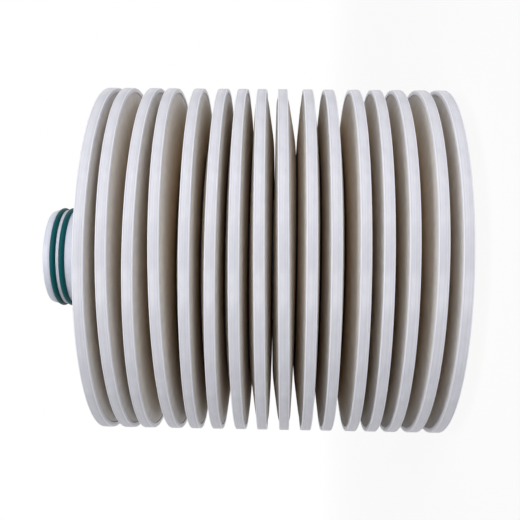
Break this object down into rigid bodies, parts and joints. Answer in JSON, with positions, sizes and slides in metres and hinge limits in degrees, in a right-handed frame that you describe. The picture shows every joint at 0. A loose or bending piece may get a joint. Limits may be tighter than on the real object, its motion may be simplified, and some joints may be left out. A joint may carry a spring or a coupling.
{
  "type": "stacked disc depth filter module",
  "caption": "Stack of round depth filter cells with moulded rims on a central channel, closed at one end, with an O-ring sealed outlet neck at the other.",
  "frame": {"origin": "under the middle of the closed end, on the surface the module stands on", "axes": "+Z along the central channel towards the outlet neck; +X is the upper side in the picture and -Y the side that faced the camera"},
  "size_m": [0.284, 0.284, 0.3361],
  "materials": {
    "rim_plastic": "moulded white polypropylene, satin, with fine turned streaks",
    "filter_sheet": "beige cellulose filter board, matt and fibrous",
    "drainage_plastic": "moulded white polypropylene",
    "neck_plastic": "moulded white polypropylene, satin",
    "stainless_steel": "cold rolled stainless steel",
    "seal_rubber": "teal green rubber, satin"
  },
  "bodies": {
    "root": {"cell_01_rim": "rim_plastic", "cell_01_media": "filter_sheet", "cell_01_separator": "drainage_plastic", "cell_02_rim": "rim_plastic", "cell_02_media": "filter_sheet", "cell_02_separator": "drainage_plastic", "cell_03_rim": "rim_plastic", "cell_03_media": "filter_sheet", "cell_03_separator": "drainage_plastic", "cell_04_rim": "rim_plastic", "cell_04_media": "filter_sheet", "cell_04_separator": "drainage_plastic", "cell_05_rim": "rim_plastic", "cell_05_media": "filter_sheet", "cell_05_separator": "drainage_plastic", "cell_06_rim": "rim_plastic", "cell_06_media": "filter_sheet", "cell_06_separator": "drainage_plastic", "cell_07_rim": "rim_plastic", "cell_07_media": "filter_sheet", "cell_07_separator": "drainage_plastic", "cell_08_rim": "rim_plastic", "cell_08_media": "filter_sheet", "cell_08_separator": "drainage_plastic", "cell_09_rim": "rim_plastic", "cell_09_media": "filter_sheet", "cell_09_separator": "drainage_plastic", "cell_10_rim": "rim_plastic", "cell_10_media": "filter_sheet", "cell_10_separator": "drainage_plastic", "cell_11_rim": "rim_plastic", "cell_11_media": "filter_sheet", "cell_11_separator": "drainage_plastic", "cell_12_rim": "rim_plastic", "cell_12_media": "filter_sheet", "cell_12_separator": "drainage_plastic", "cell_13_rim": "rim_plastic", "cell_13_media": "filter_sheet", "cell_13_separator": "drainage_plastic", "cell_14_rim": "rim_plastic", "cell_14_media": "filter_sheet", "cell_14_separator": "drainage_plastic", "cell_15_rim": "rim_plastic", "cell_15_media": "filter_sheet", "cell_15_separator": "drainage_plastic", "cell_16_rim": "rim_plastic", "cell_16_media": "filter_sheet", "cell_16_separator": "drainage_plastic", "cell_spacers": "drainage_plastic", "tie_band_1": "stainless_steel", "tie_band_2": "stainless_steel", "tie_band_3": "stainless_steel", "neck_adapter": "neck_plastic", "neck_support_ring": "stainless_steel", "nose_o_ring": "seal_rubber", "flange_o_ring": "seal_rubber", "end_cap": "neck_plastic"}
  },
  "joints": []
}
